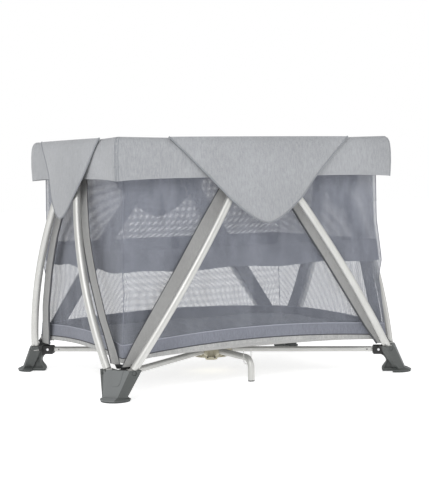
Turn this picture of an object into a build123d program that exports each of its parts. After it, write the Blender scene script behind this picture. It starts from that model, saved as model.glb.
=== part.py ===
from build123d import *
import os
from math import atan2, cos, degrees, hypot, sin

os.makedirs("parts", exist_ok=True)

# ---------------------------------------------------------------- driving dimensions (mm)
HEIGHT = 690.0            # top of the rim cover above the floor
HALF_X, HALF_Y = 440.0, 315.0   # outside of the rim cover, long and short half spans
PLAY = 0.3                # seat and running clearance used everywhere unless named
FABRIC = 2.5              # rim cover and flap cloth
WALL = 3.0                # tub, bassinet and floor panels

# base: hub, four arms and the feet
ARM_Z = 64.5              # height of every base pivot
HUB_PIVOT_R = 50.0        # arm pivots around the hub axis
FOOT_PIVOT = (HALF_X - 30.0, HALF_Y - 33.0)     # arm pivot inside the foot fork
ARM_W, ARM_H, ARM_T = 20.0, 14.5, 1.5
TONGUE_T, TONGUE_R = 10.0, 9.0
HUB_NECK, FOOT_NECK = 18.0, 23.0    # reach of the arm's flat ends to their plugs
PIN_R, BIG_PIN_R = 4.0, 5.0
HUB_R, HUB_TOP, HUB_BOTTOM = 40.0, 90.0, 33.5
DISH_R, BOSS_R = 50.0, 18.5         # shallow dish under the arms and the boss below it
KNOB_R = 28.0
CENTRE_LEG_R, CENTRE_LEG_Y, CENTRE_BEND_R = 9.5, HALF_Y - 76.0, 28.0

# bowed legs: two in every foot, each meeting its mate at the middle of a side
LEG_R, TUBE_T = 11.0, 1.5
LEG_PIVOT_Z, LEG_TOP_Z = ARM_Z + 7.5, HEIGHT - 54.0
EYE_R, EYE_HALF = 11.0, 8.0         # rounded lower end of a leg, flattened to fit the foot
RAIL_IN, LONG_RAIL_IN = 16.0, 14.0  # rail axes inside the rim, short and long sides
LONG_FOOT, SHORT_FOOT = (HALF_X - 29.0, HALF_Y + 12.5), (HALF_X + 15.4, HALF_Y - 40.8)
LONG_TOP, SHORT_TOP = (31.5, HALF_Y - LONG_RAIL_IN - 3.0), (HALF_X - RAIL_IN, 27.0)
LONG_BOW, SHORT_BOW = 32.5, 34.0

# foot casting, set out about its sole centre, along its outward diagonal
SOLE_CENTRE = (FOOT_PIVOT[0] + 43.0, FOOT_PIVOT[1] + 32.0)
SOLE_TURN = 42.3
FOOT_TOP = LEG_PIVOT_Z + 7.0
SOLE_T, RIM_T, FLANGE_TOP = 4.0, 2.5, 12.0
SOLE_OUT, SOLE_ACROSS, SOLE_BACK = 42.0, 41.0, -9.0   # toe, half width and straight back edge
SHIELD_TOP, SHIELD_FOOT = -6.0, 22.0      # distance out of the leaning front face, at its top and its foot
SHIELD_ACROSS, SHIELD_WAIST = 37.0, 21.0  # its half widths there
SOCKET_HALF = LEG_R + 2.2     # half width of each leg socket, with room for the bow
LONG_CHEEK, SHORT_CHEEK = 3.0, 1.6  # walls outside them
LONG_END, SHORT_END = 21.0, 18.0       # end walls on the sides where the legs lean
FORK_HALF, WEB_HALF = 13.0, 7.0

# rim rails: the short rail rests on the corner block, a step above the long rail
RAIL_R = 9.0
SHORT_RAIL_Z = HEIGHT - FABRIC - PLAY - RAIL_R - 0.2
LONG_RAIL_Z = SHORT_RAIL_Z - 26.0
LONG_RAIL_Y, SHORT_RAIL_X = HALF_Y - LONG_RAIL_IN, HALF_X - RAIL_IN
LONG_RAIL_PIVOT, SHORT_RAIL_PIVOT = LONG_TOP[0] + 22.5, SHORT_TOP[1] + 17.0
PLATE_T = 5.0
SKIRT_Z = HEIGHT - 110.0

# soft goods
BASSINET_FLOOR = HEIGHT - 357.0
TUB_TOP = HEIGHT - 50.0
TUB_LINE = [(HUB_TOP + 3.6, 12.0), (BASSINET_FLOOR - 53, 27.5), (BASSINET_FLOOR - 3, 21.0),
            (HEIGHT - 240, 31.0), (HEIGHT - 90, 32.3), (TUB_TOP, 32.3)]     # height and inset of the tub wall
MATTRESS_T = 30.0

ARM_TURN = atan2(FOOT_PIVOT[1], FOOT_PIVOT[0])
ARM_LENGTH = hypot(*FOOT_PIVOT) - HUB_PIVOT_R
QUADRANTS = {"rear_right": (1, 1), "rear_left": (-1, 1), "front_left": (-1, -1), "front_right": (1, -1)}


def bar(axis, centre, radius, low, high):
    """Round bar along X or Y, between two stations, about a centre given in the other two."""
    a, z = centre
    length, mid = high - low, (high + low) / 2
    if axis == "x":
        return Pos(mid, a, z) * Rot(0, 90, 0) * Cylinder(radius, length)
    return Pos(a, mid, z) * Rot(90, 0, 0) * Cylinder(radius, length)


def block(x, y, z):
    """Box between three pairs of limits."""
    return Pos(sum(x) / 2, sum(y) / 2, sum(z) / 2) * Box(x[1] - x[0], y[1] - y[0], z[1] - z[0])


def save(shape, name):
    shape.label = name
    export_step(shape, f"parts/{name}.step")


def save_quadrants(shape, name):
    """Write one corner's piece four times, mirrored about the two middle planes."""
    for corner, (sx, sy) in QUADRANTS.items():
        copy = shape if sx > 0 else mirror(shape, about=Plane.YZ)
        copy = copy if sy > 0 else mirror(copy, about=Plane.XZ)
        save(copy, f"{name}_{corner}")


# ---------------------------------------------------------------- base arms
def tongue(sign, neck):
    """Flat eye at a pivot, running out to the plug that closes the arm tube."""
    eye = Rot(90, 0, 0) * Cylinder(TONGUE_R, TONGUE_T)
    eye += Pos(sign * neck / 2, 0, 0) * Box(neck, TONGUE_T, ARM_H - 2)
    eye += Pos(sign * (neck + 3), 0, 0) * extrude(Plane.YZ * RectangleRounded(ARM_W, ARM_H, 5), 5, both=True)
    return eye - Rot(90, 0, 0) * Cylinder(PIN_R + PLAY, TONGUE_T + 1)


section = RectangleRounded(ARM_W, ARM_H, 5) - RectangleRounded(ARM_W - 2 * ARM_T, ARM_H - 2 * ARM_T, 3.5)
arm = Pos(HUB_NECK + 8, 0, 0) * extrude(Plane.YZ * section, ARM_LENGTH - HUB_NECK - FOOT_NECK - 16)
arm += tongue(1, HUB_NECK) + Pos(ARM_LENGTH, 0, 0) * tongue(-1, FOOT_NECK)
to_arm = Rot(0, 0, degrees(ARM_TURN)) * Pos(HUB_PIVOT_R, 0, ARM_Z)
save_quadrants(to_arm * arm, "base_arm")

# ---------------------------------------------------------------- hub
hub_line = [(0, HUB_BOTTOM), (BOSS_R - 1, HUB_BOTTOM), (BOSS_R, HUB_BOTTOM + 1), (BOSS_R, 40), (DISH_R, 44),
            (DISH_R, 47), (HUB_R, 49), (HUB_R, HUB_TOP - 2),
            (HUB_R - 2, HUB_TOP), (KNOB_R + 2, HUB_TOP), (KNOB_R + 2, 76), (6.4, 76), (6.4, 56), (0, 56)]
hub = revolve(Plane.XZ * make_face(Polyline(*hub_line, close=True)), Axis.Z)
turns = [s * degrees(ARM_TURN) + o for s, o in ((1, 0), (-1, 180), (1, 180), (-1, 360))] + [270]
wing_line = [(12, 48), (HUB_R + 2, 48), (HUB_PIVOT_R + 4, ARM_Z - 12), (HUB_PIVOT_R + 12, ARM_Z - 5),
             (HUB_PIVOT_R + 12, ARM_Z + 5), (HUB_PIVOT_R + 5, ARM_Z + 12), (12, ARM_Z + 12)]
for turn in turns:
    folded = block((HUB_R + 0.2, 90), (-ARM_W / 2 - 0.5, ARM_W / 2 + 0.5), (30, ARM_Z - 15))
    hub -= Rot(0, 0, turn) * folded
    wing = extrude(Plane.XZ * make_face(Polyline(*wing_line, close=True)), 13, both=True)
    wing -= block((HUB_R + 0.2, 80), (-TONGUE_T / 2 - PLAY, TONGUE_T / 2 + PLAY), (40, 90))
    wing += bar("y", (HUB_PIVOT_R, ARM_Z), PIN_R, -12, 12)
    hub += Rot(0, 0, turn) * (wing - folded)
hub -= Pos(0, 0, 83) * Cylinder(KNOB_R + 2, 14)
hub -= Pos(0, 0, (76 + 56) / 2) * Cylinder(6.4, 20)
save(hub, "hub_shell")

knob = Pos(0, 0, 76 + PLAY + 4) * Cylinder(KNOB_R, 8)
knob += Pos(0, 0, 86) * Box(2 * KNOB_R - 8, 12, 5)
knob += Pos(0, 0, 67) * Cylinder(6, 20)
save(knob, "hub_handle")

# ---------------------------------------------------------------- centre support leg
bend = CENTRE_LEG_Y - CENTRE_BEND_R
drop = ARM_Z - CENTRE_BEND_R
leg_path = Line((0, -HUB_PIVOT_R - 22, ARM_Z), (0, -bend, ARM_Z))
leg_path += ThreePointArc((0, -bend, ARM_Z),
                          (0, -bend - CENTRE_BEND_R * sin(0.7854), drop + CENTRE_BEND_R * cos(0.7854)),
                          (0, -CENTRE_LEG_Y, drop))
leg_path += Line((0, -CENTRE_LEG_Y, drop), (0, -CENTRE_LEG_Y, 3))
ring = Circle(CENTRE_LEG_R) - Circle(CENTRE_LEG_R - TUBE_T)
centre_leg = sweep(Plane((0, -HUB_PIVOT_R - 22, ARM_Z), z_dir=(0, -1, 0)) * ring, leg_path)
eye = bar("x", (-HUB_PIVOT_R, ARM_Z), TONGUE_R, -5, 5)
eye += block((-5, 5), (-HUB_PIVOT_R - 20, -HUB_PIVOT_R), (ARM_Z - 7, ARM_Z + 7))
eye += bar("y", (0, ARM_Z), CENTRE_LEG_R, -HUB_PIVOT_R - 24, -HUB_PIVOT_R - 16)
centre_leg += eye - bar("x", (-HUB_PIVOT_R, ARM_Z), PIN_R + PLAY, -6, 6)
save(centre_leg, "centre_leg")
cap = Pos(0, -CENTRE_LEG_Y, 1.35) * Cylinder(CENTRE_LEG_R, 2.7)
cap += Pos(0, -CENTRE_LEG_Y, 8) * Cylinder(CENTRE_LEG_R - TUBE_T - PLAY, 12)
save(cap, "centre_leg_cap")
# elastic loop, sewn to the floor cloth at both ends and passing under the centre leg
LOOP_R, LOOP_Y, LOOP_HALF, LOOP_BOTTOM = 1.2, CENTRE_LEG_Y - 20.0, 12.0, 46.5
loop_arc_z = LOOP_BOTTOM + LOOP_HALF
loop_ends = [(-LOOP_HALF, -LOOP_Y, HUB_TOP - 0.5), (-LOOP_HALF, -LOOP_Y, loop_arc_z),
             (LOOP_HALF, -LOOP_Y, loop_arc_z), (LOOP_HALF, -LOOP_Y, HUB_TOP - 0.5)]
loop_line = Line(*loop_ends[:2]) + ThreePointArc(loop_ends[1], (0, -LOOP_Y, LOOP_BOTTOM), loop_ends[2])
loop_line += Line(*loop_ends[2:])
save(sweep(Plane(loop_ends[0], z_dir=(0, 0, -1)) * Circle(LOOP_R), loop_line), "floor_loop")


# ---------------------------------------------------------------- foot casting
def on_foot(d, t):
    """Plan point from a distance out along the foot's diagonal and one across it."""
    turn = SOLE_TURN * 3.14159265 / 180
    x = SOLE_CENTRE[0] + d * cos(turn) - t * sin(turn)
    return x, SOLE_CENTRE[1] + d * sin(turn) + t * cos(turn)


def trim(shape, a, b, c):
    """Cut a shape along the plane through three points and keep the side with the foot's middle."""
    a, b, c = Vector(*a), Vector(*b), Vector(*c)
    cut = Plane(origin=a, x_dir=b - a, z_dir=(b - a).cross(c - a))
    inside = (Vector(*on_foot(-12, 0), FOOT_TOP / 2) - a).dot(cut.z_dir) > 0
    return split(shape, bisect_by=cut, keep=Keep.TOP if inside else Keep.BOTTOM)


long_x, long_y = LONG_FOOT
short_x, short_y = SHORT_FOOT
reach, short_reach = SOCKET_HALF + LONG_CHEEK, SOCKET_HALF + SHORT_CHEEK
WAIST_Z = FLANGE_TOP - 2
brow = [(*on_foot(SHIELD_TOP - 4, 4 - SHIELD_ACROSS), FOOT_TOP),
        (*on_foot(SHIELD_TOP + 2, SHIELD_ACROSS + 3), FOOT_TOP)]
chin = [(*on_foot(SHIELD_FOOT, 1 - SHIELD_WAIST), WAIST_Z),
        (*on_foot(SHIELD_FOOT, SHIELD_WAIST + 1), WAIST_Z)]
foot = block((long_x - 40, short_x + 60), (short_y - 40, long_y + 60), (WAIST_Z, FOOT_TOP))
foot = trim(foot, brow[0], brow[1], chin[0])
foot = trim(foot, brow[0], (short_x + short_reach, short_y - 12, FOOT_TOP), chin[0])
foot = trim(foot, brow[1], (long_x - 10, long_y + reach, FOOT_TOP), chin[1])
foot = trim(foot, (long_x - LONG_END, long_y, FOOT_TOP), (long_x - LONG_END, long_y - 9, FOOT_TOP),
            (*on_foot(-7, 19), WAIST_Z))
foot = trim(foot, (short_x, short_y - SHORT_END, FOOT_TOP), (short_x - 9, short_y - SHORT_END, FOOT_TOP),
            (*on_foot(-7, -16), WAIST_Z))
foot = trim(foot, (*on_foot(-48, 9), FOOT_TOP), (*on_foot(-48, -9), FOOT_TOP), (*on_foot(-9, 0), WAIST_Z))
back = [(long_x - 30, long_y - reach), (long_x + 22, long_y - reach),
        (short_x - reach, short_y + 20), (short_x - reach, short_y - 32),
        (long_x - 30, short_y - 32)]
foot -= Pos(0, 0, 30) * extrude(make_face(Polyline(*back, close=True)), 100)

# flared toe: the front half of an oval, cut straight at its back
to_sole = Pos(*SOLE_CENTRE, 0) * Rot(0, 0, SOLE_TURN)
toe_half = to_sole * block((SOLE_BACK, 100), (-100, 100), (0, FLANGE_TOP))
flange = extrude(to_sole * Pos(0, 0, SOLE_T) * Ellipse(SOLE_OUT, SOLE_ACROSS), RIM_T)
flange += loft([(to_sole * Pos(0, 0, SOLE_T + RIM_T) * Ellipse(SOLE_OUT, SOLE_ACROSS)).face(),
                (to_sole * Pos(0, 0, FLANGE_TOP) * Ellipse(SOLE_OUT - 11, SOLE_ACROSS - 11)).face()])
foot += flange & toe_half

# raised tongue on the leaning front face
brow_mid, chin_mid = (Vector(*brow[0]) + Vector(*brow[1])) * 0.5, (Vector(*chin[0]) + Vector(*chin[1])) * 0.5
across = (Vector(*brow[1]) - Vector(*brow[0])).normalized()
lean = Vector(*brow[0]) - Vector(*chin[0])
face = Plane(origin=brow_mid + (chin_mid - brow_mid) * 0.3 + across * 1.5, x_dir=across,
             z_dir=across.cross(lean))
tongue_line = [(-16.5, 22), (16.5, 22), (13, -13), (8, -20), (-8, -20), (-13, -13)]
foot += extrude(face * make_face(Polyline(*tongue_line, close=True)), 1.6, both=True)

# web, heel and fork, in the upright plane of the arm; distances run outwards from the pivot
fork_low, fork_high = ARM_Z - 14, ARM_Z + 11
web_line = Polyline((6, fork_low), (-14, fork_low), (-18, fork_low + 4),
                    (-18, fork_high - 4), (-15, fork_high),
                    (38, fork_high), (42, FOOT_TOP - 5), (68, 14), (70, SOLE_T), (9, SOLE_T), (9, 8))
web_line += Spline((9, 8), (14, 18), (21.5, 30), (18, 41), (6, fork_low))
to_fork = Rot(0, 0, degrees(ARM_TURN)) * Pos(hypot(*FOOT_PIVOT), 0, 0)
web = extrude(Plane.XZ * make_face(web_line), FORK_HALF, both=True)
recess = [(15, 9), (62, 9), (50, 45), (28, 45), (26, 32)]
for side in (-1, 1):
    pocket_face = Plane.XZ * make_face(Polyline(*recess, close=True))
    web -= Pos(0, side * (WEB_HALF + 4), 0) * extrude(pocket_face, 4, both=True)
web -= block((-30, 15), (-TONGUE_T / 2 - PLAY, TONGUE_T / 2 + PLAY), (40, 90))
web += bar("y", (0, ARM_Z), PIN_R, -FORK_HALF, FORK_HALF)
foot += to_fork * web



def swing_room(lean, pivot, turn):
    """Space above a foot pivot that a leg sweeps between upright and its open lean."""
    wide, tall, thick = 2 * SOCKET_HALF, 40, 2 * (LEG_R + 0.8)
    room = Pos(0, 0, tall / 2 - 1) * Box(wide, thick, tall)
    room += Rot(-lean, 0, 0) * Pos(0, 0, tall / 2 - 1) * Box(wide, thick, tall)
    room &= Pos(0, 0, tall / 2 - 1) * Box(100, 100, tall)
    return Pos(*pivot) * Rot(0, 0, turn) * room


# sockets that the two legs swing in, wide towards the middle of the side and narrow under the shield
rise = LEG_TOP_Z - LEG_PIVOT_Z
long_lean = degrees(atan2(long_x - LONG_TOP[0], rise))
short_lean = degrees(atan2(short_y - SHORT_TOP[1], rise))
slot_half, pocket = EYE_HALF + PLAY, EYE_R + 1
foot -= bar("y", (long_x, LEG_PIVOT_Z), pocket, long_y - slot_half, long_y + slot_half)
foot -= block((long_x, long_x + pocket), (long_y - slot_half, long_y + slot_half), (LEG_PIVOT_Z, 100))
foot -= swing_room(long_lean, (long_x, long_y, LEG_PIVOT_Z), 90)
foot -= bar("x", (short_y, LEG_PIVOT_Z), pocket, short_x - slot_half, short_x + slot_half)
foot -= block((short_x - slot_half, short_x + slot_half), (short_y, short_y + pocket), (LEG_PIVOT_Z, 100))
foot -= swing_room(short_lean, (short_x, short_y, LEG_PIVOT_Z), 180)
foot -= bar("y", (long_x, LEG_PIVOT_Z), BIG_PIN_R + 1.4, long_y + reach - 2.2, long_y + reach + 2)
foot -= bar("x", (short_y, LEG_PIVOT_Z), BIG_PIN_R + 1.4, short_x + short_reach - 2.2,
            short_x + short_reach + 4)
foot += bar("y", (long_x, LEG_PIVOT_Z), BIG_PIN_R, long_y - reach + 0.5, long_y + reach - 1.2)
foot += bar("x", (short_y, LEG_PIVOT_Z), BIG_PIN_R, short_x - reach + 0.5, short_x + short_reach - 0.4)
save_quadrants(foot, "foot")

sole = extrude(to_sole * Ellipse(SOLE_OUT - 2, SOLE_ACROSS - 2), SOLE_T - PLAY) & toe_half
sole += to_fork * block((11, 60), (-FORK_HALF + 1.5, FORK_HALF - 1.5), (0, SOLE_T - PLAY))
save_quadrants(sole, "foot_sole")


# ---------------------------------------------------------------- bowed legs
def bowed_tube(low, high, bow, radius):
    """Closed-ended tube bent to one arc between two pivots, cut back from both of them."""
    low, high, bow = Vector(*low), Vector(*high), Vector(*bow)
    whole = ThreePointArc(low, (low + high) * 0.5 + bow, high)
    trim = EYE_R * 0.8 / whole.length
    path = ThreePointArc(whole @ trim, whole @ 0.5, whole @ (1 - trim))
    return sweep(Plane(path @ 0, z_dir=path % 0) * Circle(radius), path)


TOP_EYE = (LEG_R - 1.5, 13.5)     # inward and outward reach of a leg's top eye
long_leg = bowed_tube((*LONG_FOOT, LEG_PIVOT_Z), (*LONG_TOP, LEG_TOP_Z), (0, LONG_BOW, 0), LEG_R)
long_leg += bar("y", (long_x, LEG_PIVOT_Z), EYE_R, long_y - EYE_HALF, long_y + EYE_HALF)
long_leg += bar("y", (LONG_TOP[0], LEG_TOP_Z), EYE_R, LONG_TOP[1] - TOP_EYE[0], LONG_TOP[1] + TOP_EYE[1])
long_leg -= bar("y", (long_x, LEG_PIVOT_Z), BIG_PIN_R + PLAY, long_y - 16, long_y + 16)
long_leg -= bar("y", (LONG_TOP[0], LEG_TOP_Z), BIG_PIN_R + PLAY, LONG_TOP[1] - 13, LONG_TOP[1] + 30)
save_quadrants(long_leg, "long_leg")

short_leg = bowed_tube((*SHORT_FOOT, LEG_PIVOT_Z), (*SHORT_TOP, LEG_TOP_Z), (SHORT_BOW, 0, 0), LEG_R)
short_leg += bar("x", (short_y, LEG_PIVOT_Z), EYE_R, short_x - EYE_HALF, short_x + EYE_HALF)
short_leg += bar("x", (SHORT_TOP[1], LEG_TOP_Z), EYE_R, SHORT_TOP[0] - TOP_EYE[0], SHORT_TOP[0] + TOP_EYE[1])
short_leg -= bar("x", (short_y, LEG_PIVOT_Z), BIG_PIN_R + PLAY, short_x - 16, short_x + 16)
short_leg -= bar("x", (SHORT_TOP[1], LEG_TOP_Z), BIG_PIN_R + PLAY, SHORT_TOP[0] - 13, SHORT_TOP[0] + 30)
save_quadrants(short_leg, "short_leg")

# ---------------------------------------------------------------- folding joints at mid side
# each half is one plate outside the leg and the rail, with a pin for each and its head inside
plate_in = LONG_TOP[1] + TOP_EYE[1] + 0.8
plate_out = plate_in + PLATE_T
plate = block((PLAY, LONG_RAIL_PIVOT + 16), (plate_in, plate_out), (LEG_TOP_Z - 9, LONG_RAIL_Z + 14))
plate = fillet(plate.edges().filter_by(Axis.Y), 6)
plate += block((PLAY, 12), (plate_in, plate_out), (LEG_TOP_Z - 9, LONG_RAIL_Z + 14))
joint = plate + bar("y", (LONG_TOP[0], LEG_TOP_Z), BIG_PIN_R, LONG_TOP[1] - TOP_EYE[0] - 1, plate_in + 1)
joint += bar("y", (LONG_TOP[0], LEG_TOP_Z), 7, LONG_TOP[1] - TOP_EYE[0] - 2, LONG_TOP[1] - TOP_EYE[0] - PLAY)
joint += bar("y", (LONG_TOP[0], LEG_TOP_Z), 8, plate_out - 1, plate_out + 1.5)
joint += bar("y", (LONG_RAIL_PIVOT, LONG_RAIL_Z), BIG_PIN_R, LONG_RAIL_Y - 12, plate_in + 1)
joint += bar("y", (LONG_RAIL_PIVOT, LONG_RAIL_Z), 8, LONG_RAIL_Y - 13, LONG_RAIL_Y - 11)
save_quadrants(joint, "long_joint")

plate_in = SHORT_TOP[0] + TOP_EYE[1] + 0.8
plate_out = plate_in + PLATE_T
plate = block((plate_in, plate_out), (PLAY, SHORT_RAIL_PIVOT + 14), (LEG_TOP_Z - 9, SHORT_RAIL_Z + 4))
plate = fillet(plate.edges().filter_by(Axis.X), 6)
plate += block((plate_in, plate_out), (PLAY, 12), (LEG_TOP_Z - 9, SHORT_RAIL_Z + 4))
joint = plate + bar("x", (SHORT_TOP[1], LEG_TOP_Z), BIG_PIN_R, SHORT_TOP[0] - TOP_EYE[0] - 1, plate_in + 1)
joint += bar("x", (SHORT_TOP[1], LEG_TOP_Z), 7, SHORT_TOP[0] - TOP_EYE[0] - 2,
             SHORT_TOP[0] - TOP_EYE[0] - PLAY)
joint += bar("x", (SHORT_TOP[1], LEG_TOP_Z), 8, plate_out - 1, plate_out + 1.5)
joint += bar("x", (SHORT_RAIL_PIVOT, SHORT_RAIL_Z), PIN_R, SHORT_RAIL_X - 12, plate_in + 1)
joint += bar("x", (SHORT_RAIL_PIVOT, SHORT_RAIL_Z), 7, SHORT_RAIL_X - 12.6, SHORT_RAIL_X - 10.3)
save_quadrants(joint, "short_joint")

# ---------------------------------------------------------------- rim rails and corner blocks
corner_in = HALF_X - 29.0
rail_end = HALF_X - 12.0
tube = Circle(RAIL_R) - Circle(RAIL_R - TUBE_T)
rail = Pos(LONG_RAIL_PIVOT + 14, LONG_RAIL_Y, LONG_RAIL_Z) * extrude(
    Plane.YZ * tube, rail_end - LONG_RAIL_PIVOT - 14)
rail += bar("x", (LONG_RAIL_Y, LONG_RAIL_Z), RAIL_R, LONG_RAIL_PIVOT + 5, LONG_RAIL_PIVOT + 18)
rail += bar("y", (LONG_RAIL_PIVOT, LONG_RAIL_Z), 11, LONG_RAIL_Y - 10.7, LONG_RAIL_Y + 10.3)
rail -= bar("y", (LONG_RAIL_PIVOT, LONG_RAIL_Z), BIG_PIN_R + PLAY, LONG_RAIL_Y - 12, LONG_RAIL_Y + 12)
save_quadrants(rail, "long_rail")

short_end = LONG_RAIL_Y + 5
rail = Pos(SHORT_RAIL_X, SHORT_RAIL_PIVOT + 14, SHORT_RAIL_Z) * extrude(
    Plane(origin=(0, 0, 0), z_dir=(0, 1, 0)) * tube, short_end - SHORT_RAIL_PIVOT - 14)
rail += bar("y", (SHORT_RAIL_X, SHORT_RAIL_Z), RAIL_R, SHORT_RAIL_PIVOT + 4, SHORT_RAIL_PIVOT + 18)
rail += bar("x", (SHORT_RAIL_PIVOT, SHORT_RAIL_Z), RAIL_R, SHORT_RAIL_X - 10, SHORT_RAIL_X + 10.2)
rail -= bar("x", (SHORT_RAIL_PIVOT, SHORT_RAIL_Z), PIN_R + PLAY, SHORT_RAIL_X - 12, SHORT_RAIL_X + 12)
save_quadrants(rail, "short_rail")

seat = SHORT_RAIL_Z - RAIL_R - PLAY
corner = block((corner_in, HALF_X - 4), (HALF_Y - 29, HALF_Y - 3.5), (LONG_RAIL_Z - 13, seat))
corner = fillet(corner.edges().filter_by(Axis.Z), 6)
corner += block((SHORT_RAIL_X + RAIL_R + 0.8, HALF_X - 4), (HALF_Y - 22, HALF_Y - 10), (seat - 2, seat + 8))
corner -= bar("x", (LONG_RAIL_Y, LONG_RAIL_Z), RAIL_R + PLAY, corner_in - 1, rail_end + PLAY)
save_quadrants(corner, "rail_corner")

# ---------------------------------------------------------------- soft goods
MITRE = HALF_X - HALF_Y


def long_wedge():
    r = MITRE - PLAY
    return extrude(make_face(Polyline((-r, 0), (r, 0), (r + 400, 400), (-r - 400, 400), close=True)), 800)


def short_wedge():
    r = MITRE + PLAY
    return extrude(make_face(Polyline((r, 0), (r + 400, 400), (r + 400, -400), close=True)), 800)


def side_panel(outline, long_side):
    """Extrude a section drawn from the middle outwards and mitre it at the corners."""
    half = HALF_Y if long_side else HALF_X
    points = [(half - inset, z) for inset, z in outline]
    if long_side:
        return extrude(Plane.YZ * make_face(Polyline(*points, close=True)), 480, both=True) & long_wedge()
    return extrude(Plane.XZ * make_face(Polyline(*points, close=True)), 360, both=True) & short_wedge()


def save_sides(long_shape, short_shape, name):
    save(long_shape, f"{name}_rear")
    save(mirror(long_shape, about=Plane.XZ), f"{name}_front")
    save(short_shape, f"{name}_right")
    save(mirror(short_shape, about=Plane.YZ), f"{name}_left")


def lining(offset, low, high):
    """Section of a cloth wall that follows the tub line at a given inset."""
    line = [(z, g) for z, g in TUB_LINE if low < z < high]
    line = [(low, None)] + line + [(high, None)]
    known = TUB_LINE + [(HEIGHT, TUB_LINE[-1][1])]

    def inset(z):
        for (z0, g0), (z1, g1) in zip(known, known[1:]):
            if z <= z1:
                return g0 + (g1 - g0) * (z - z0) / (z1 - z0)

    outer = [(inset(z) + offset, z) for z, _ in line]
    return outer + [(g + WALL, z) for g, z in reversed(outer)]


floor_top = HUB_TOP + PLAY + WALL
tub_section = lining(0, floor_top + PLAY, TUB_TOP)
save_sides(side_panel(tub_section, True), side_panel(tub_section, False), "tub")
floor = block((-HALF_X + 14, HALF_X - 14), (-HALF_Y + 14, HALF_Y - 14), (HUB_TOP + PLAY, floor_top))
save(fillet(floor.edges().filter_by(Axis.Z), 12), "tub_floor")
pad = block((-HALF_X + 22, HALF_X - 22), (-HALF_Y + 22, HALF_Y - 22),
            (floor_top + PLAY, floor_top + MATTRESS_T))
save(fillet(pad.edges().filter_by(Axis.Z), 20), "mattress")

bassinet_section = lining(WALL + PLAY, BASSINET_FLOOR, HEIGHT - 8)
save_sides(side_panel(bassinet_section, True), side_panel(bassinet_section, False), "bassinet")
panel = block((-HALF_X + 28.6, HALF_X - 28.6), (-HALF_Y + 28.6, HALF_Y - 28.6),
              (BASSINET_FLOOR, BASSINET_FLOOR + 8))
save(fillet(panel.edges().filter_by(Axis.Z), 3), "bassinet_floor")


def cover(long_side, window, flap_line, flap_edge):
    """Channel of cloth over the rail, open at mid side, with the flap that hides the joint."""
    top, depth = HEIGHT, 29.5
    lip = SKIRT_Z + 20
    channel = [(0, SKIRT_Z), (0, top), (depth + FABRIC, top), (depth + FABRIC, lip), (depth, lip),
               (depth, top - FABRIC), (FABRIC, top - FABRIC), (FABRIC, SKIRT_Z)]
    shape = side_panel(channel, long_side)
    outer = [(-out, z) for out, z in flap_line]
    inner = [(-out + FABRIC, z) for out, z in reversed(flap_line[1:])]
    inner = inner[:-1] + [(inner[-1][0] + 0.4, top - FABRIC), (4, top - FABRIC), (4, top)]
    edge = flap_edge + [(-a, z) for a, z in reversed(flap_edge[:-1])]
    half = HALF_Y if long_side else HALF_X
    points = [(half - inset, z) for inset, z in outer + inner]
    if long_side:
        shape -= block((-window, window), (half - 5, half + 5), (500, top - FABRIC))
        flap = extrude(Plane.YZ * make_face(Polyline(*points, close=True)), 330, both=True)
        flap &= extrude(Plane.XZ * make_face(Polyline(*edge, close=True)), 500, both=True)
    else:
        shape -= block((half - 5, half + 5), (-window, window), (500, top - FABRIC))
        flap = extrude(Plane.XZ * make_face(Polyline(*points, close=True)), 330, both=True)
        flap &= extrude(Plane.YZ * make_face(Polyline(*edge, close=True)), 600, both=True)
    return shape + flap


def below_top(points):
    """Places given as distances below the top, put at their real heights."""
    return [(a, HEIGHT - drop) for drop, a in points]


LONG_FLAP = [(0, 0), (0, 4), (12, 9), (30, 12), (170, 26), (236, 35)]     # drop below the top, reach outwards
SHORT_FLAP = [(0, 0), (0, 4), (12, 9), (30, 12.5), (165, 27.5), (220, 35.5)]
# flap outlines: drop below the top, half width
LONG_EDGE = [(-1, 285), (112, 170), (170, 118), (220, 60), (234, 25), (236, 0)]
SHORT_EDGE = [(-1, 215), (105, 130), (175, 80), (212, 40), (220, 0)]
long_cover = cover(True, 92, below_top(LONG_FLAP), below_top(LONG_EDGE))
short_cover = cover(False, 76, below_top(SHORT_FLAP), below_top(SHORT_EDGE))
save_sides(long_cover, short_cover, "rim_cover")
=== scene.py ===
from math import atan2, cos, hypot, pi, radians, sin

import bpy
from mathutils import Matrix, Vector


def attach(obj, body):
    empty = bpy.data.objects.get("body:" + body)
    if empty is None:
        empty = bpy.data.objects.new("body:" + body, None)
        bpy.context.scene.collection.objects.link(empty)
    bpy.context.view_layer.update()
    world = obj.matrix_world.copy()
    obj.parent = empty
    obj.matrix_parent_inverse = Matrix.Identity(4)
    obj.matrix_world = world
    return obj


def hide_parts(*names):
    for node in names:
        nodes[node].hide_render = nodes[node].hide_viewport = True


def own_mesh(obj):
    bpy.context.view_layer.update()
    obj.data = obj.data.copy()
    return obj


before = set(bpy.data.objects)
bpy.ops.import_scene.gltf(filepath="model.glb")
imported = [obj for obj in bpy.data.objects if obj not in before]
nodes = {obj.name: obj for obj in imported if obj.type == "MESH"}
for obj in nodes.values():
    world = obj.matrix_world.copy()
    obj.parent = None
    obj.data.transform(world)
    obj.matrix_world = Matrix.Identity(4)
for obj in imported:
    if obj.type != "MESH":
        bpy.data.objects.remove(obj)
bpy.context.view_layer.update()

HALF_X, HALF_Y, TOP = 0.440, 0.315, 0.690      # half length, half width and height of the rim
SIDES = ("front", "rear", "left", "right")
LONG_SIDES = ("front", "rear")
# every corner, with its sign along x and along y
QUADRANTS = {"rear_right": (1, 1), "rear_left": (-1, 1), "front_left": (-1, -1), "front_right": (1, -1)}
FOLD_X, FOLD_Y = 0.343077, 0.235970      # how far a foot travels inwards as the yard folds
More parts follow.
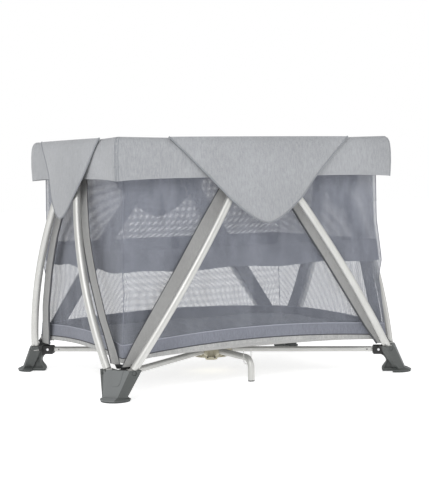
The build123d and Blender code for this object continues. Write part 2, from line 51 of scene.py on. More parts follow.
# height, and how far the tub's wall stands inside the rim line there
TUB_LINE = [(0.090, 0.012), (0.28, 0.0275), (0.33, 0.021), (0.45, 0.031), (0.60, 0.0323),
            (0.69, 0.0323)]


# ---------------------------------------------------------------- camera
EYE = (-1.8078, -3.4, 0.6029)
YAW, PITCH, ROLL = 0.4925, -0.0627, -0.0162
SENSOR, FOCAL_PIXELS, FRAME_PIXELS = 36, 1293.43, 500

camera = bpy.data.objects.new("camera", bpy.data.cameras.new("camera"))
bpy.context.scene.collection.objects.link(camera)
forward = Vector((sin(YAW) * cos(PITCH), cos(YAW) * cos(PITCH), sin(PITCH)))
level = Vector((cos(YAW), -sin(YAW), 0))
upright = level.cross(forward)
right, up = cos(ROLL) * level + sin(ROLL) * upright, -sin(ROLL) * level + cos(ROLL) * upright
camera.matrix_world = Matrix.Translation(EYE) @ Matrix((right, up, -forward)).transposed().to_4x4()
camera.data.sensor_width = SENSOR
camera.data.lens = FOCAL_PIXELS * SENSOR / FRAME_PIXELS
bpy.context.scene.camera = camera


# ---------------------------------------------------------------- shader writing
class Value:
    """A number coming out of a node; Python's operators add the Math nodes."""

    def __init__(self, finish, socket):
        self.finish, self.socket = finish, socket

    def math(self, operation, *others):
        return self.finish.node("Math", {"operation": operation}, dict(enumerate((self, *others))))

    def mask(self, sharpness):
        """0 below zero and 1 above it, with a short ramp between them."""
        return (self * sharpness).math("MAXIMUM", 0.0).math("MINIMUM", 1.0)

    def __add__(self, other):
        return self.math("ADD", other)

    def __sub__(self, other):
        return self.math("SUBTRACT", other)

    def __mul__(self, other):
        return self.math("MULTIPLY", other)

    def __rsub__(self, other):
        return self.finish.node("Math", {"operation": "SUBTRACT"}, {0: other, 1: self})

    __radd__, __rmul__ = __add__, __mul__


class Finish:
    """One material and the nodes it is written with."""

    def __init__(self, name):
        self.material = bpy.data.materials.new(name)
        self.material.use_nodes = True
        self.tree = self.material.node_tree
        self.shader = self.tree.nodes["Principled BSDF"]
        self.place = self.node("TexCoord", {}, {}, "Object").socket

    def node(self, kind, settings, values, output=0):
        made = self.tree.nodes.new("ShaderNode" + kind)
        for key, value in settings.items():
            if key == "stops":
                ramp = made.color_ramp.elements
                while len(ramp) < len(value):
                    ramp.new(0.5)
                for stop, (at, colour) in zip(ramp, value):
                    stop.position, stop.color = at, (*colour, 1)
            else:
                setattr(made, key, value)
        for key, value in values.items():
            self.link(made.inputs[key], value)
        return Value(self, made.outputs[output])

    def link(self, entry, value):
        value = value.socket if isinstance(value, Value) else value
        if isinstance(value, bpy.types.NodeSocket):
            self.tree.links.new(value, entry)
        else:
            entry.default_value = value

    def parts(self, vector):
        """The three components of a vector."""
        split = self.node("SeparateXYZ", {}, {0: vector}).socket.node
        return [Value(self, end) for end in split.outputs]

    def noise(self, scale, detail=2.0, rough=0.5, stretch=(1, 1, 1)):
        at = self.node("Mapping", {}, {"Vector": self.place, "Scale": stretch})
        return self.node("TexNoise", {}, {"Vector": at, "Scale": scale, "Detail": detail,
                                          "Roughness": rough})

    def ramp(self, factor, *stops):
        return self.node("ValToRGB", {"stops": stops}, {0: factor})

    def blend(self, factor, first, second):
        return self.node("Mix", {"data_type": "RGBA"}, {0: factor, 6: first, 7: second}, 2)

    def bump(self, height, strength, distance):
        bump = self.node("Bump", {}, {"Height": height, "Strength": strength, "Distance": distance})
        self.link(self.shader.inputs["Normal"], bump)

    def set(self, **values):
        for key, value in values.items():
            self.link(self.shader.inputs[key.replace("_", " ")], value)
        return self.material


def rgb(*levels):
    """Linear colour from screen levels of 0 to 255."""
    linear = [((v / 255 + 0.055) / 1.055) ** 2.4 for v in levels]
    return (*linear, 1)


def heather(name, light, dark, thread, sheen=0.25):
    """Two-tone woven cloth: flecked threads with a fine crossed weave."""
    cloth = Finish(name)
    fleck = cloth.noise(thread * 2.2, 3, 0.7)
    slub = cloth.noise(thread * 0.5, 2, 0.6, (1, 1, 0.25))
    drift = cloth.noise(7, 2)
    mix = cloth.ramp(fleck * 0.7 + slub * 0.3, (0.36, dark[:3]), (0.60, light[:3]))
    shade = cloth.ramp(drift, (0.3, (0.90, 0.90, 0.90)), (0.7, (1, 1, 1)))
    base = cloth.node("Mix", {"data_type": "RGBA", "blend_type": "MULTIPLY"},
                      {0: 1.0, 6: mix, 7: shade}, 2)
    over = cloth.node("TexWave", {"wave_type": "BANDS", "bands_direction": "DIAGONAL"},
                      {"Vector": cloth.place, "Scale": thread * 0.6, "Distortion": 1.5, "Detail": 1.0},
                      "Fac")
    cloth.bump(over * 0.6 + fleck * 0.5, 0.35, 0.0006)
    return cloth.set(Base_Color=base, Roughness=0.86 + 0.1 * fleck,
                     Sheen_Weight=sheen, Sheen_Roughness=0.5)


def netting(name, light, dark, solid):
    """Open mesh: rows of small round holes in a crossed lattice of threads, part see-through."""
    net = Finish(name)
    x, y, z = net.parts(net.place)
    two_holes = 0.0064
    per_metre = 2 * pi / two_holes
    rows = (z * per_metre).math("SINE")
    columns = ((x + y) * per_metre).math("SINE")
    hole = (rows * columns).math("ABSOLUTE")
    fleck = net.noise(420, 2)
    streak = net.noise(30, 3, 0.6, (1, 1, 0.35))
    base = net.ramp(streak * 0.5 + fleck * 0.5, (0.36, dark[:3]), (0.64, light[:3]))
    alpha = (solid + 0.34) - hole * 0.95 + fleck * 0.10
    net.bump(hole, 0.3, 0.0005)
    return net.set(Base_Color=base, Roughness=0.8 + 0.1 * fleck, Alpha=alpha, Sheen_Weight=0.15)


def moulded(name, light, dark, rough, grain=900.0):
    """Moulded plastic with a fine spark-eroded grain."""
    plastic = Finish(name)
    speck, cloud = plastic.noise(grain, 2), plastic.noise(11, 3)
    plastic.bump(speck, 0.25, 0.0003)
    return plastic.set(Base_Color=plastic.blend(cloud, dark, light),
                       Roughness=rough + 0.15 * speck - 0.05 * cloud)


def foot_casting(name, shield, core_and_facet_shade, fork, rough):
    """Foot plastic: a pale shield; the web and the heel darker, and the shield's side face painted in
    their darker colour as painted shade; the fork darkest.
    """
    plastic = Finish(name)
    x, y, z = plastic.parts(plastic.place)
    out_x, out_y = 0.7396, 0.6730      # plan direction in which the shield faces
    shield_top, shield_back, fork_front, fork_low = 0.079, 0.5324, 0.509, 0.046
    foot_across, shaded_facet_edge = 0.0727, 0.039
    outward = x.math("ABSOLUTE") * out_x + y.math("ABSOLUTE") * out_y
    across = y.math("ABSOLUTE") * out_x - x.math("ABSOLUTE") * out_y + foot_across
    drop = shield_top - z
    inside = (shield_back + drop * 0.406 - outward).mask(700)
    # painted shade: the shield's side face is given the web's darker colour, standing for the shade
    # that falls on it
    shaded_facet = (across + drop * 0.36 - shaded_facet_edge).mask(700)
    in_fork = (z - fork_low).mask(400) * (fork_front - outward).mask(700)
    speck, cloud = plastic.noise(900, 2), plastic.noise(11, 3)
    pale = plastic.blend(cloud, tuple(0.86 * c for c in shield[:3]) + (1,), shield)
    # the side face painted in shade
    pale = plastic.blend(shaded_facet, pale, core_and_facet_shade)
    deep = plastic.blend(in_fork, core_and_facet_shade, fork)
    plastic.bump(speck, 0.25, 0.0003)
    return plastic.set(Base_Color=plastic.blend(inside, pale, deep), Roughness=rough + 0.15 * speck)


def drawn_metal(name, colour, rough):
    """Satin tube with faint drawing lines and clouding."""
    metal = Finish(name)
    line, cloud = metal.noise(900, 2, 0.5, (1, 1, 0.04)), metal.noise(16, 3)
    base = metal.ramp(cloud, (0.3, tuple(c * 0.92 for c in colour[:3])), (0.7, colour[:3]))
    metal.bump(line, 0.12, 0.0002)
    return metal.set(Base_Color=base, Metallic=0.75, Roughness=rough + 0.12 * line)


rim_cloth = heather("heather_rim_cloth", rgb(170, 172, 175), rgb(138, 140, 144), 520.0)
edge_cloth = heather("rim_edge_binding", rgb(150, 153, 157), rgb(120, 123, 128), 800.0, 0.1)
strip_cloth = heather("heather_strip_cloth", rgb(164, 164, 163), rgb(142, 142, 141), 700.0)
band_cloth = heather("slate_band_cloth", rgb(134, 137, 147), rgb(106, 109, 119), 620.0, 0.15)
pad_cloth = heather("pad_cloth", rgb(160, 163, 169), rgb(130, 133, 139), 460.0)
binding_cloth = heather("pale_hem_binding", rgb(188, 188, 186), rgb(138, 139, 140), 380.0, 0.1)
# dark seams; on the leg strips' edges behind the legs this colour also stands for the shade in the slit
# between leg and strip (painted shade)
hem_cloth = heather("dark_seam", rgb(86, 87, 91), rgb(64, 65, 69), 700.0, 0.1)
piping_cloth = heather("pale_piping", rgb(166, 169, 180), rgb(140, 143, 155), 800.0, 0.1)
web_cloth = heather("black_webbing", rgb(62, 63, 64), rgb(42, 43, 44), 600.0, 0.1)
mesh_cloth = netting("slate_mesh", rgb(156, 160, 170), rgb(118, 122, 133), 0.46)
crib_mesh = netting("bassinet_mesh", rgb(156, 160, 171), rgb(118, 122, 134), 0.54)
silver = drawn_metal("satin_silver_tube", rgb(206, 206, 203), 0.44)
# the second colour is the web and heel plastic, and also the painted shade on each foot's side face
foot_grey = foot_casting("foot_grey_plastic", rgb(116, 119, 119), rgb(78, 81, 80), rgb(38, 38, 38),
                         0.52)
black = moulded("joint_black_plastic", rgb(62, 62, 62), rgb(40, 40, 40), 0.45)
shell = moulded("hub_off_white_plastic", rgb(206, 201, 183), rgb(186, 181, 160), 0.5)
rubber = moulded("sole_rubber", rgb(84, 87, 87), rgb(66, 69, 69), 0.8, 500.0)
elastic = heather("pale_elastic", rgb(228, 228, 226), rgb(200, 200, 198), 900.0, 0.1)
steel = drawn_metal("rivet_steel", rgb(236, 236, 238), 0.28)

# the finish of every CAD node that stays in view, by the start of its name; the longest match holds
finishes = {"base_arm": silver, "long_leg": silver, "short_leg": silver, "long_rail": silver,
            "short_rail": silver, "centre_leg": silver, "centre_leg_cap": rubber, "foot": foot_grey,
            "foot_sole": rubber, "long_joint": black, "short_joint": black, "rail_corner": black,
            "hub_shell": shell, "hub_handle": black}
for name, node in nodes.items():
    kind = max((start for start in finishes if name.startswith(start)), key=len, default=None)
    if kind:
        node.data.materials.clear()
        node.data.materials.append(finishes[kind])


# ---------------------------------------------------------------- shaping cloth
def table(stops, at):
    """Straight-line value from a list of (place, value)."""
    for (a, va), (b, vb) in zip(stops, stops[1:]):
        if at <= b:
            return va + (vb - va) * max(0.0, at - a) / (b - a)
    return stops[-1][1]


def grid(name, across, along, place, finish, thick=0.0):
    """A cloth sheet: a grid primitive laid out by place(u, v), then given its thickness."""
    bpy.ops.object.select_all(action="DESELECT")
    bpy.ops.mesh.primitive_grid_add(x_subdivisions=across, y_subdivisions=along, size=2)
    sheet = bpy.context.object
    sheet.name = sheet.data.name = name
    for vertex in sheet.data.vertices:
        vertex.co = place((vertex.co.x + 1) / 2, (vertex.co.y + 1) / 2)
    sheet.matrix_world = Matrix.Identity(4)
    if thick:
        solid = sheet.modifiers.new("thickness", "SOLIDIFY")
        solid.thickness, solid.offset = thick, 0
        bpy.ops.object.modifier_apply(modifier="thickness")
    sheet.data.materials.append(finish)
    bpy.ops.object.shade_smooth_by_angle(angle=radians(50))
    return sheet


def piping(name, points, radius, finish):
    """A sewn-in cord edge along a smooth line."""
    bpy.ops.object.select_all(action="DESELECT")
    curve = bpy.data.curves.new(name, "CURVE")
    curve.dimensions, curve.bevel_depth, curve.bevel_resolution, curve.resolution_u = "3D", radius, 3, 2
    curve.use_fill_caps = True
    spline = curve.splines.new("POLY")
    spline.points.add(len(points) - 1)
    for point, at in zip(spline.points, points):
        point.co = (*at, 1)
    tube = bpy.data.objects.new(name, curve)
    bpy.context.scene.collection.objects.link(tube)
    tube.select_set(True)
    bpy.context.view_layer.objects.active = tube
    bpy.ops.object.convert(target="MESH")
    tube = bpy.context.object
    tube.data.materials.append(finish)
    bpy.ops.object.shade_smooth()
    return tube


def on_side(side, along, out):
    """Plan point at a distance along a side and at a distance out from the middle of the yard."""
    return {"front": (along, -out), "rear": (along, out),
            "left": (-out, along), "right": (out, along)}[side]


def side_point(side, s, inset, radius=0.014):
    """Plan point on a rounded rectangle inside the rim line. s runs from -1 to 1 along one side."""
    a, b = (HALF_X, HALF_Y) if side in LONG_SIDES else (HALF_Y, HALF_X)
    a, b = a - inset, b - inset
    straight, arc = a - radius, radius * pi / 4
    run = abs(s) * (straight + arc)
    if run <= straight:
        p, q = run, b
    else:
        turn = (run - straight) / radius
        p, q = straight + radius * sin(turn), b - radius * (1 - cos(turn))
    return on_side(side, p if s >= 0 else -p, q)


# ---------------------------------------------------------------- tub
HEM_CORNER, WALL_TOP = 0.095, 0.628      # height of the hem at the corners, and of the walls' top
TUB_CORNER = 0.010                       # radius of the corners
BAND, BINDING = 0.046, 0.012      # heights of the cloth band over the hem, and of the binding in it
WALL_KEEP = 0.15      # what is left of a wall's length when the yard is folded


def bow(s, power=2.0):
    """1 at mid side and 0 at both corners."""
    return 1 - abs(s) ** power


def hem_height(side, s):
    """Height of the tub's bottom edge, which arches up at mid side."""
    rise = 0.020 if side in LONG_SIDES else 0.012
    return HEM_CORNER + rise * bow(s)


def tub_inset(side, s, z):
    """How far the tub's wall stands inside the rim line: waisted corners, drawn-in hem."""
    drawn = 0.030 if side in LONG_SIDES else 0.022
    low = max(0.0, 1 - (z - 0.09) / 0.30)
    return table(TUB_LINE, z) + bow(s, 2.5) * drawn * low * low


def tub_point(side, s, z, out=0.0):
    """Point on the tub's wall, or a little out from it."""
    x, y = side_point(side, s, tub_inset(side, s, z) - out, TUB_CORNER)
    return Vector((x, y, z))


for side in SIDES:
    long_side = side in LONG_SIDES
    run = 64 if long_side else 48

    def wall(u, v):
        s = 2 * u - 1
        low = hem_height(side, s) + BAND
        return tub_point(side, s, low + (WALL_TOP - low) * v)

    def band(u, v):
        s = 2 * u - 1
        return tub_point(side, s, hem_height(side, s) + BINDING + (BAND - BINDING) * v, 0.0008)

    def binding(u, v):
        s = 2 * u - 1
        return tub_point(side, s, hem_height(side, s) + BINDING * v, 0.0012)

    net = grid(f"tub_mesh_{side}", run, 40, wall, mesh_cloth)
    skirt = grid(f"tub_band_{side}", run, 6, band, band_cloth, 0.0014)
    stations = [i / run * 2 - 1 for i in range(run + 1)]
    top_line = piping(f"tub_piping_{side}",
                      [tub_point(side, s, hem_height(side, s) + BAND, 0.001) for s in stations],
                      0.0016, piping_cloth)
    hem = grid(f"tub_hem_{side}", run, 3, binding, binding_cloth, 0.0022)
    hem_line = piping(f"tub_hem_line_{side}",
                      [tub_point(side, s, hem_height(side, s) + BINDING, 0.0016) for s in stations],
                      0.0015, hem_cloth)
    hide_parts(f"tub_{side}")
    length = 2 * ((HALF_X if long_side else HALF_Y) - 0.026)
    # a wall rides on one foot
    if long_side:
        across, anchor = (1, 0, 0), (-FOLD_X / (1 - WALL_KEEP), 0, 0)
        body = f"foot_{side}_left"
    else:
        across, anchor = (0, 1, 0), (0, -FOLD_Y / (1 - WALL_KEEP), 0)
        body = f"foot_front_{side}"
    for piece in (net, skirt, top_line, hem, hem_line):
        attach(piece, body)
        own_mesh(piece)

# corner seams of the tub
for corner, (sx, sy) in QUADRANTS.items():
    side = "rear" if sy > 0 else "front"
    heights = [0.097 + 0.53 * i / 30 for i in range(31)]
    seam = piping(f"tub_corner_{corner}", [tub_point(side, sx, z, 0.0005) for z in heights],
                  0.0011, band_cloth)
    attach(seam, f"foot_{corner}")

# floor of the tub, in four parts that swing with the base arms
PIVOT = (0.410, 0.282, 0.0645)      # where a base arm is pinned into its foot
ARM_TURN = atan2(PIVOT[1], PIVOT[0])
for corner, (sx, sy) in QUADRANTS.items():
    def pan(u, v):
        _, rim_y = side_point("rear", u, tub_inset("rear", u, 0.1), TUB_CORNER)
        rim_x, _ = side_point("right", v, tub_inset("right", v, 0.1), TUB_CORNER)
        edge = max(u, v)
        height = hem_height("rear", u) if v > u else hem_height("right", v)
        return Vector((sx * rim_x * u, sy * rim_y * v, 0.0905 + (height - 0.0900) * edge ** 6))

    part = grid(f"tub_floor_{corner}", 28, 28, pan, strip_cloth, 0.002)
    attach(part, f"arm_{corner}")
    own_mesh(part)
    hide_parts("tub_floor")


# ---------------------------------------------------------------- cloth strips behind the legs
# a leg's two ends, each as its place along the side and its height
LONG_FOOT, LONG_TOP = (0.411, 0.072), (0.0315, 0.636)
SHORT_FOOT, SHORT_TOP = (0.2742, 0.072), (0.027, 0.636)
STRIP_LOW, STRIP_HIGH = 0.086, 0.600
# (height, distance out from the middle of the yard) along a strip
LONG_PLANE = [(0.086, 0.312), (0.140, 0.3015), (0.340, 0.2985), (0.450, 0.2905), (0.600, 0.2880)]
SHORT_PLANE = [(0.086, 0.4280), (0.127, 0.4315), (0.205, 0.4425), (0.309, 0.4480), (0.362, 0.4480),
               (0.415, 0.4463), (0.468, 0.4400), (0.523, 0.4317), (0.600, 0.4175)]


def strip(name, side, sign, foot, top, toward_corner, width, plane):
    """Taut ribbon behind a leg, from its foot to the middle of the side, with dark corded edges; the
    thicker cord, at the edge behind the leg, is a seam that also stands for the shade in the slit
    between leg and strip (painted shade).
    """
    lean = (foot[0] - top[0]) / (top[1] - foot[1])
    slant = hypot(lean, 1)
    flare = 0.0 if side in LONG_SIDES else 0.010

    def place(u, v):
        z = STRIP_LOW + (STRIP_HIGH - STRIP_LOW) * v
        wider = flare * max(0.0, 1 - (z - STRIP_LOW) / 0.080)
        along = (foot[0] + toward_corner - (z - foot[1]) * lean + (u - 0.5) * width * slant
                 - wider * (1 - u))
        curl = 0.0015 * (2 * u - 1) ** 2
        return Vector((*on_side(side, sign * along, table(plane, z) - curl), z))

    ribbon = grid(name, 6, 40, place, strip_cloth, 0.0012)
    # the first, thicker cord is partly a real seam and partly painted shade: dark and wide to stand for
    # the shadow in the slit between leg and strip
    edges = [piping(f"{name}_edge_{i}", [place(u, v / 40) for v in range(41)], radius, hem_cloth)
             for i, (u, radius) in enumerate(((0.0, 0.0026), (1.0, 0.0012)))]
    return ribbon, edges


TAB_WIDE = 0.050
for corner, (sx, sy) in QUADRANTS.items():
    for kind, side, sign, foot, top, toward_corner, width, length, plane in (
            ("long", "rear" if sy > 0 else "front", sx, LONG_FOOT, LONG_TOP, 0.006, 0.040, 0.620,
             LONG_PLANE),
            ("short", "right" if sx > 0 else "left", sy, SHORT_FOOT, SHORT_TOP, -0.003, 0.046, 0.562,
             SHORT_PLANE)):
        ribbon, edges = strip(f"{kind}_strip_{corner}", side, sign, foot, top, toward_corner, width,
                              plane)
        for piece in (ribbon, *edges):
            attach(piece, f"{kind}_leg_{corner}")

    # dark webbing tab that ties the corner of the tub to the foot
    def tab(u, v):
        across = (u - 0.5) * TAB_WIDE
        low, high = Vector((0.415, 0.297, 0.079)), Vector((0.421, 0.299, 0.091))
        point = low.lerp(high, v) + Vector((0.74, -0.67, 0)) * across
        return Vector((sx * point.x, sy * point.y, point.z))

    strap = grid(f"corner_tab_{corner}", 4, 6, tab, web_cloth, 0.0018)
    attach(strap, f"foot_{corner}")


# ---------------------------------------------------------------- rim cover
# the cover's section, from the skirt's outer hem over the rail to its inner hem, as (inset, height)
COVER = [(0.0005, 0.580), (-0.0015, 0.615), (-0.001, 0.650), (0.001, 0.672), (0.0050, 0.6835),
         (0.0115, 0.6890), (0.0180, 0.6895), (0.0245, 0.6870), (0.0295, 0.6800), (0.0315, 0.6680),
         (0.0320, 0.645), (0.0320, 0.604)]
COVER_STEPS = len(COVER) - 1
# for half a side: steps along it, half the skirt's opening under the flap, the height that it folds
# towards, and its cloth's flat length and area
RIM = {"long": {"run": 44, "open": 0.092, "anchor": 0.66, "cut": 0.436, "area": 0.0820},
       "short": {"run": 32, "open": 0.076, "anchor": 0.69, "cut": 0.312, "area": 0.0575}}
OPEN_HEIGHT = 0.664      # the skirt's opening reaches up to here
HEM_ROW, SEAM_ROWS = 0.9, 7.5      # where the stitches run, in steps of the section
HEM_START = 0.22      # where the hem's stitches begin, as a share of the half side
for corner, (sx, sy) in QUADRANTS.items():
    for kind, side, sign in (("long", "rear" if sy > 0 else "front", sx),
                             ("short", "right" if sx > 0 else "left", sy)):
        half = RIM[kind]

        def cover(u, v):
            step = v * COVER_STEPS
            i = min(int(step), COVER_STEPS - 1)
            t = step - i
            inset = COVER[i][0] + (COVER[i + 1][0] - COVER[i][0]) * t
            z = COVER[i][1] + (COVER[i + 1][1] - COVER[i][1]) * t
            sag = 0.005 * bow(u) if z > 0.66 else 0.0
            hang = 0.006 * u ** 6 if z < 0.60 and inset < 0.02 else 0.0
            x, y = side_point(side, sign * u, inset, 0.014 - min(inset, 0.03) * 0.3)
            if abs(x if kind == "long" else y) < half["open"] and inset < 0.02:
                z = max(z, OPEN_HEIGHT)
            return Vector((x, y, z - sag - hang))

        skirt = grid(f"{kind}_rim_cover_{corner}", half["run"], 33, cover, rim_cloth, 0.0020)
        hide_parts(f"rim_cover_{side}")

        # stitched lines: along the skirt's hem, and two beside the corner seam
        hem = [cover(HEM_START + (1 - HEM_START) * i / 40, HEM_ROW / COVER_STEPS) for i in range(41)]
        lines = [piping(f"{kind}_hem_stitch_{corner}", hem, 0.0010, edge_cloth)]
        for n, u in enumerate((0.988, 0.999)):
            seam = [cover(u, SEAM_ROWS * i / 24 / COVER_STEPS) for i in range(25)]
            lines.append(piping(f"{kind}_corner_stitch_{n}_{corner}", seam, 0.0011, edge_cloth))
        for piece in (skirt, *lines):
            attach(piece, f"{kind}_rail_{corner}")
            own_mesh(piece)


# ---------------------------------------------------------------- flaps over the folding joints
# width and out are lists of (height, value): half the flap's width, and how far it stands out from
# the rim line
FLAPS = {
    "long": {"half": HALF_Y, "tip": 0.454, "axis": (1, 0, 0), "cut": 0.57, "area": 0.0815,
             "width": [(0.454, 0.0), (0.459, 0.022), (0.470, 0.045), (0.490, 0.075), (0.520, 0.112),
                       (0.580, 0.168), (0.640, 0.230), (0.690, 0.285)],
             "out": [(0.454, 0.0345), (0.520, 0.0275), (0.600, 0.0205), (0.660, 0.0150),
                     (0.678, 0.0115), (0.686, 0.0060), (0.690, 0.0020)]},
    "short": {"half": HALF_X, "tip": 0.470, "axis": (0, 1, 0), "cut": 0.43, "area": 0.0535,
              "width": [(0.470, 0.0), (0.475, 0.018), (0.486, 0.036), (0.505, 0.058), (0.535, 0.085),
                        (0.590, 0.128), (0.640, 0.170), (0.690, 0.215)],
              "out": [(0.470, 0.0350), (0.525, 0.0285), (0.600, 0.0215), (0.660, 0.0155),
                      (0.678, 0.0115), (0.686, 0.0060), (0.690, 0.0020)]},
}
OUTLINE_STEPS = 60
for side in SIDES:
    kind = "long" if side in LONG_SIDES else "short"
    shape = FLAPS[kind]
    tip = shape["tip"]

    def drape(across, z):
        """Point of the flap's cloth, full over the joint and close to the skirt at its top corners."""
        width = max(table(shape["width"], z), 1e-4)
        near = min(1.0, abs(across) / width)
        hold = table([(tip, 0.98), (0.53, 0.95), (0.60, 0.55), (0.69, 0.30)], z)
        out = table(shape["out"], z) * (1 - (1 - hold) * near ** 2.6)
        return Vector((*on_side(side, across, shape["half"] + out), z))

    def flap(u, v):
        z = TOP - 0.0005 - (TOP - tip - 0.0008) * (1 - (1 - v) ** 1.5)
        return drape((2 * u - 1) * table(shape["width"], z), z)

    cloth = grid(f"flap_{side}", 48, 44, flap, rim_cloth, 0.0018)
    outline = [flap(0, i / OUTLINE_STEPS) for i in range(OUTLINE_STEPS)]
    outline += [flap(0.5, 1)] + [flap(1, 1 - (i + 1) / OUTLINE_STEPS) for i in range(OUTLINE_STEPS)]
    edge = piping(f"flap_edge_{side}", outline, 0.0024, edge_cloth)
    joint = f"{kind}_joint_" + {"front": "front_left", "rear": "rear_left", "left": "front_left",
                                "right": "front_right"}[side]
    for piece in (cloth, edge):
        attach(piece, joint)
        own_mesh(piece)


# ---------------------------------------------------------------- bassinet and mattress
def padded_slab(name, half_x, half_y, low, high, radius, waist=(0.004, 0.004), lift=(0.0, 0.0)):
    """Foam pad with a crowned top. Its sides draw in by waist and rise by lift at mid side, each given
    for the long sides and then the short ones."""
    height, mid = high - low, (low + high) / 2
    bpy.ops.object.select_all(action="DESELECT")
    bpy.ops.mesh.primitive_cube_add(size=1, location=(0, 0, mid),
                                    scale=(2 * half_x, 2 * half_y, height))
    pad = bpy.context.object
    bpy.ops.object.transform_apply(location=True, rotation=True, scale=True)
    bpy.ops.object.mode_set(mode="EDIT")
    bpy.ops.mesh.select_all(action="SELECT")
    bpy.ops.mesh.subdivide(number_cuts=14)
    bpy.ops.object.mode_set(mode="OBJECT")
    for vertex in pad.data.vertices:
        x, y, z = vertex.co
        nx, ny = abs(x) / half_x, abs(y) / half_y
        crown = (1 - nx ** 4) * (1 - ny ** 4)
        rise = max(lift[0] * bow(nx) * ny ** 6, lift[1] * bow(ny) * nx ** 6)
        top = min(mid + (z - mid) * (0.62 + 0.38 * crown) + rise, high + 0.003)
        vertex.co.z = top if z > mid else z + rise
        draw_x = waist[1] * bow(ny) * nx ** 4
        draw_y = waist[0] * bow(nx) * ny ** 4
        vertex.co.x, vertex.co.y = x * (1 - draw_x / half_x), y * (1 - draw_y / half_y)
    bevel = pad.modifiers.new("round", "BEVEL")
    bevel.width, bevel.segments = min(radius, height * 0.35), 3
    bevel.limit_method, bevel.angle_limit = "ANGLE", radians(40)
    bpy.ops.object.modifier_apply(modifier="round")
    pad.name = pad.data.name = name
    pad.data.materials.append(pad_cloth)
    bpy.ops.object.shade_smooth()
    return pad


mattress = padded_slab("mattress_pad", 0.414, 0.289, 0.0940, 0.1230, 0.010,
                       waist=(0.024, 0.016), lift=(0.020, 0.012))
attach(mattress, "mattress")
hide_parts("mattress")

bassinet_pad = padded_slab("bassinet_pad", 0.409, 0.284, 0.3335, 0.3400, 0.004)
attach(bassinet_pad, "bassinet")
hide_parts("bassinet_floor")

for pad in (mattress, bassinet_pad):
    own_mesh(pad)

INSERT_LOW, INSERT_TALL = 0.334, 0.350      # bottom edge and height of the bassinet's walls
LOW_BAND, HEAD_BAND = 0.16, 0.28      # shares of that height that the two cloth bands take
for side in SIDES:
    def inner(u, v):
        s = 2 * u - 1
        ripple = 0.5 + 0.5 * sin(9 * s + SIDES.index(side))
        z = INSERT_LOW + INSERT_TALL * v - 0.007 * ripple * (1 - v) ** 12
        x, y = side_point(side, s, table(TUB_LINE, z) + 0.0045, 0.012)
        return Vector((x, y, z))

    def frame_low(u, v):
        return inner(u, v * LOW_BAND)

    def frame_high(u, v):
        return inner(u, 1 - HEAD_BAND + v * HEAD_BAND)

    net = grid(f"bassinet_mesh_{side}", 48, 26, inner, crib_mesh)
    low = grid(f"bassinet_band_{side}", 48, 5, frame_low, band_cloth, 0.0012)
    high = grid(f"bassinet_head_{side}", 48, 8, frame_high, band_cloth, 0.0012)
    length = 2 * ((HALF_X if side in LONG_SIDES else HALF_Y) - 0.032)
    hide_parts(f"bassinet_{side}")
    for piece, tall in ((net, 0.35), (low, 0.056), (high, 0.098)):
        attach(piece, "bassinet")
        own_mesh(piece)


# ---------------------------------------------------------------- rivets and screws
def button(name, at, facing, radius, height, finish):
    """Low domed head standing on a surface and facing out of it."""
    bpy.ops.object.select_all(action="DESELECT")
    bpy.ops.mesh.primitive_cylinder_add(vertices=28, radius=radius, depth=height, location=at,
                                        rotation=Vector(facing).to_track_quat("Z", "Y").to_euler())
    head = bpy.context.object
    bpy.ops.object.transform_apply(location=True, rotation=True, scale=True)
    round_off = head.modifiers.new("round", "BEVEL")
    round_off.width, round_off.segments = height * 0.45, 3
    bpy.ops.object.modifier_apply(modifier="round")
    head.name = head.data.name = name
    head.data.materials.append(finish)
    bpy.ops.object.shade_smooth_by_angle(angle=radians(40))
    return head


FORK_FACE, ARM_FACE = 0.0135, 0.0100      # how far to each side of the arm's middle the heads stand
SCREW_BACK = 0.034      # from the pivot back along the arm
HUB_FACE, HUB_SCREW_HEIGHT = 0.0500, 0.0455
for corner, (sx, sy) in QUADRANTS.items():
    along = Vector((sx * cos(ARM_TURN), sy * sin(ARM_TURN), 0))
    across = Vector((-along.y, along.x, 0))
    centre = Vector((sx * PIVOT[0], sy * PIVOT[1], PIVOT[2]))
    for n, way in enumerate((1, -1)):
        rivet = button(f"fork_rivet_{n}_{corner}", centre + across * way * FORK_FACE, across * way,
                       0.0042, 0.003, steel)
        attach(rivet, f"foot_{corner}")
        screw = button(f"arm_screw_{n}_{corner}", centre - along * SCREW_BACK + across * way * ARM_FACE,
                       across * way, 0.0020, 0.0016, black)
        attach(screw, f"arm_{corner}")
for n, turn in enumerate((radians(229.5), radians(254.0))):
    facing = Vector((cos(turn), sin(turn), 0))
    screw = button(f"hub_screw_{n}", facing * HUB_FACE + Vector((0, 0, HUB_SCREW_HEIGHT)), facing,
                   0.0024, 0.0016, black)
    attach(screw, "base")


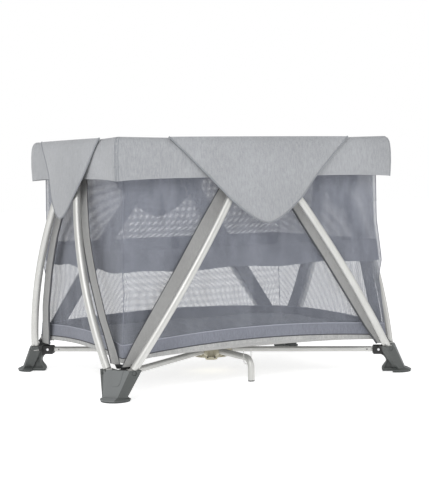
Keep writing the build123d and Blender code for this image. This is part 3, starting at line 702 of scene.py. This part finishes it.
# ---------------------------------------------------------------- elastic loop at the centre leg
LOOP = [(-0.012, 0.0895), (-0.012, 0.066), (-0.012, 0.0465),      # x and z of its route
        (0.012, 0.0465), (0.012, 0.066), (0.012, 0.0895)]
LOOP_Y, CORD_RADIUS = -0.219, 0.0012
loop_curve = bpy.data.curves.new("floor_loop_cord", "CURVE")
loop_curve.dimensions, loop_curve.bevel_depth, loop_curve.bevel_resolution = "3D", CORD_RADIUS, 3
loop_line = loop_curve.splines.new("NURBS")
loop_line.points.add(len(LOOP) - 1)
for point, (x, z) in zip(loop_line.points, LOOP):
    point.co = (x, LOOP_Y, z, 1)
loop_line.order_u, loop_line.use_endpoint_u = 3, True
loop_cord = bpy.data.objects.new("floor_loop_cord", loop_curve)
bpy.context.scene.collection.objects.link(loop_cord)
loop_curve.materials.append(elastic)
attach(loop_cord, "base")
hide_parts("floor_loop")


# ---------------------------------------------------------------- studio
FLOOR_GLOW, SKY_LIGHT, SKY_SEEN = 0.60, 0.60, 1.0

bpy.ops.mesh.primitive_plane_add(size=30, location=(0, 0, -0.0005))
ground = bpy.context.object
ground.name = "studio_floor"
pale = Finish("studio_floor_paint")
ground.data.materials.append(pale.set(Base_Color=(0.90, 0.90, 0.90, 1), Roughness=0.9,
                                      Emission_Color=(1, 1, 1, 1), Emission_Strength=FLOOR_GLOW))
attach(ground, "foot_front_left")       # the feet stand on it at every pose

world = bpy.data.worlds.new("studio")
bpy.context.scene.world = world
world.use_nodes = True
sky = world.node_tree.nodes["Background"]
sky.inputs[0].default_value = (1, 1, 1, 1)
seen = world.node_tree.nodes.new("ShaderNodeLightPath").outputs["Is Camera Ray"]
brightness = world.node_tree.nodes.new("ShaderNodeMapRange")
brightness.inputs["To Min"].default_value = SKY_LIGHT
brightness.inputs["To Max"].default_value = SKY_SEEN
world.node_tree.links.new(seen, brightness.inputs["Value"])
world.node_tree.links.new(brightness.outputs["Result"], sky.inputs["Strength"])

AIM = Vector((0, 0, 0.35))
for name, at, size, power in (("key", (-2.4, -2.4, 2.6), 1.6, 58), ("fill", (2.4, -2.2, 1.6), 2.0, 16)):
    lamp = bpy.data.lights.new(name, "AREA")
    lamp.size, lamp.energy = size, power
    light = bpy.data.objects.new(name, lamp)
    bpy.context.scene.collection.objects.link(light)
    light.location = at
    light.rotation_euler = (AIM - Vector(at)).to_track_quat("-Z", "Y").to_euler()
bpy.context.scene.view_settings.view_transform = "Standard"
